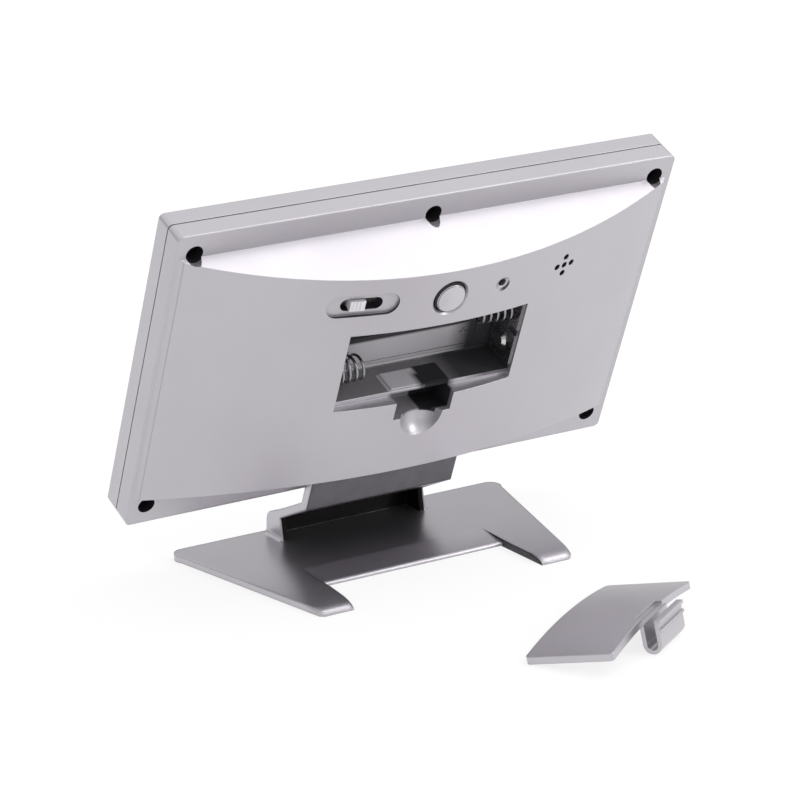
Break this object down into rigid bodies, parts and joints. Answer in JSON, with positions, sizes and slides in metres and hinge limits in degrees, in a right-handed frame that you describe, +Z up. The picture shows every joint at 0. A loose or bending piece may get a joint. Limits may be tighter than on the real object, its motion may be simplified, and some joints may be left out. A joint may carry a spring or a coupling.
{
  "type": "digital alarm clock",
  "caption": "Slim leaning digital alarm clock with a bulged rear cover, open battery compartment, loose clip-on battery door and a flat forked stand.",
  "frame": {"origin": "on the table, under the middle of the stand's foot plate", "axes": "+Z up, +Y out of the battery side, -Y towards the display, +X to the right of someone who faces the display"},
  "size_m": [0.14, 0.1234, 0.1026],
  "materials": {
    "case_plastic": "satin, finely textured",
    "stand_plastic": "satin",
    "door_plastic": "satin, finely textured",
    "key_plastic": "satin",
    "knob_plastic": "satin",
    "dark_plastic": "satin",
    "clear_window": "polished",
    "display_glass": "polished",
    "reflector": "matt",
    "white_plastic": "satin",
    "contact_rubber": "matt",
    "board": "solder mask",
    "epoxy": "glossy",
    "sleeve": "printed sleeve, bare",
    "bright_steel": "plated",
    "dark_steel": "blackened",
    "nickel": "nickel plated",
    "brass": "rolled",
    "red_lead": "insulation",
    "black_lead": "insulation"
  },
  "bodies": {
    "stand": {"stand": "stand_plastic"},
    "case": {"rear_cover": "case_plastic", "front_bezel": "case_plastic", "display_lens": "clear_window", "lcd_front_glass": "display_glass", "lcd_rear_glass": "display_glass", "lcd_reflector": "reflector", "lcd_frame": "white_plastic", "zebra_strips": "contact_rubber", "circuit_board": "board", "board_screws": "bright_steel", "chip_blob": "epoxy", "crystal_can": "nickel", "capacitors": "sleeve", "key_switches": "dark_plastic", "case_screws": "dark_steel", "sounder_disc": "brass", "sounder_leads": "black_lead", "slide_switch": "bright_steel", "slide_switch_leads": "red_lead", "light_switch": "dark_plastic", "reset_switch": "dark_plastic", "terminal_negative": "nickel", "terminal_positive": "nickel", "link_contact": "nickel", "lower_spring": "nickel", "upper_spring": "nickel"},
    "slide_knob": {"slide_knob": "knob_plastic"},
    "light_button": {"light_button": "key_plastic"},
    "reset_pin": {"reset_pin": "dark_plastic"},
    "mode_key": {"mode_key": "key_plastic"},
    "set_key": {"set_key": "key_plastic"},
    "up_key": {"up_key": "key_plastic"},
    "down_key": {"down_key": "key_plastic"},
    "snooze_bar": {"snooze_bar": "key_plastic"},
    "battery_door": {"battery_door": "door_plastic"}
  },
  "joints": [
    {"name": "case_lift", "type": "slide", "parent": "stand", "child": "case", "axis": [0, 0.3723, 0.9281], "range_m": [0, 0.03]},
    {"name": "slide_switch_travel", "type": "slide", "parent": "case", "child": "slide_knob", "axis": [-0.991, 0.1241, -0.0498], "range_m": [0, 0.0025]},
    {"name": "light_press", "type": "slide", "parent": "case", "child": "light_button", "axis": [0, -0.9281, 0.3723], "range_m": [0, 0.0006], "stiffness_N_per_m": 1500, "springref_m": -0.0004},
    {"name": "reset_press", "type": "slide", "parent": "case", "child": "reset_pin", "axis": [0, -0.9281, 0.3723], "range_m": [0, 0.0004], "stiffness_N_per_m": 1500, "springref_m": -0.0004},
    {"name": "mode_press", "type": "slide", "parent": "case", "child": "mode_key", "axis": [0, 0.9281, -0.3723], "range_m": [0, 0.0005], "stiffness_N_per_m": 1500, "springref_m": -0.0004},
    {"name": "set_press", "type": "slide", "parent": "case", "child": "set_key", "axis": [0, 0.9281, -0.3723], "range_m": [0, 0.0005], "stiffness_N_per_m": 1500, "springref_m": -0.0004},
    {"name": "up_press", "type": "slide", "parent": "case", "child": "up_key", "axis": [0, 0.9281, -0.3723], "range_m": [0, 0.0005], "stiffness_N_per_m": 1500, "springref_m": -0.0004},
    {"name": "down_press", "type": "slide", "parent": "case", "child": "down_key", "axis": [0, 0.9281, -0.3723], "range_m": [0, 0.0005], "stiffness_N_per_m": 1500, "springref_m": -0.0004},
    {"name": "snooze_press", "type": "slide", "parent": "case", "child": "snooze_bar", "axis": [0, 0.9281, -0.3723], "range_m": [0, 0.0005], "stiffness_N_per_m": 1500, "springref_m": -0.0004},
    {"name": "door_lift", "type": "slide", "parent": "stand", "child": "battery_door", "axis": [0, 0, 1], "range_m": [0, 0.06]}
  ]
}
